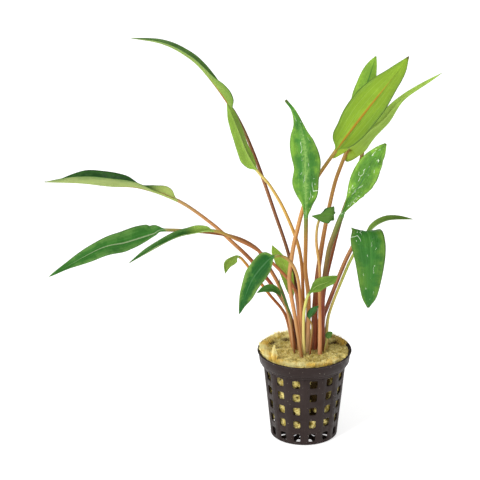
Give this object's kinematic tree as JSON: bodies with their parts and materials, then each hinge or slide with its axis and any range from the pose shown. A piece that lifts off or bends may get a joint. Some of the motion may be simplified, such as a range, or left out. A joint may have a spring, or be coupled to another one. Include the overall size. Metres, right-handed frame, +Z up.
{
  "type": "potted cryptocoryne",
  "caption": "Water plant with long reddish stalks and lance-shaped green leaves, rooted in mineral wool in a small dark net pot.",
  "frame": {"origin": "middle of the pot's flat base, on the surface that the pot stands on", "axes": "+Z up out of the pot; the plant's front, as it is usually looked at, faces -Y; +X to its right"},
  "size_m": [0.2301, 0.0917, 0.2322],
  "materials": {
    "pot_plastic": "dark warm brown moulded plastic, satin, faintly scuffed",
    "planting_wool": "fibrous ochre mineral wool, matt, with pale tufts and brown hollows",
    "crown": "brown rootstock, matt",
    "leaf": "soft satin leaf, green blade with a pale midrib on an orange-brown to dark red stalk"
  },
  "bodies": {
    "root": {"net_pot": "pot_plastic", "planting_wool": "planting_wool", "crown": "crown", "tall_arching_leaf": "leaf", "bright_folded_leaf": "leaf", "long_left_leaf": "leaf", "broad_left_leaf": "leaf", "narrow_left_leaf": "leaf", "hanging_front_leaf": "leaf", "small_left_leaf": "leaf", "small_dark_leaf": "leaf", "young_leaf": "leaf", "inner_light_leaf": "leaf", "upright_middle_leaf": "leaf", "small_centre_leaf": "leaf", "small_front_leaf": "leaf", "low_folded_leaf": "leaf", "big_upper_leaf": "leaf", "back_upper_leaf": "leaf", "narrow_right_leaf": "leaf", "glossy_right_leaf": "leaf", "hanging_right_leaf": "leaf", "slim_right_leaf": "leaf", "seedling_leaf": "leaf"}
  },
  "joints": []
}
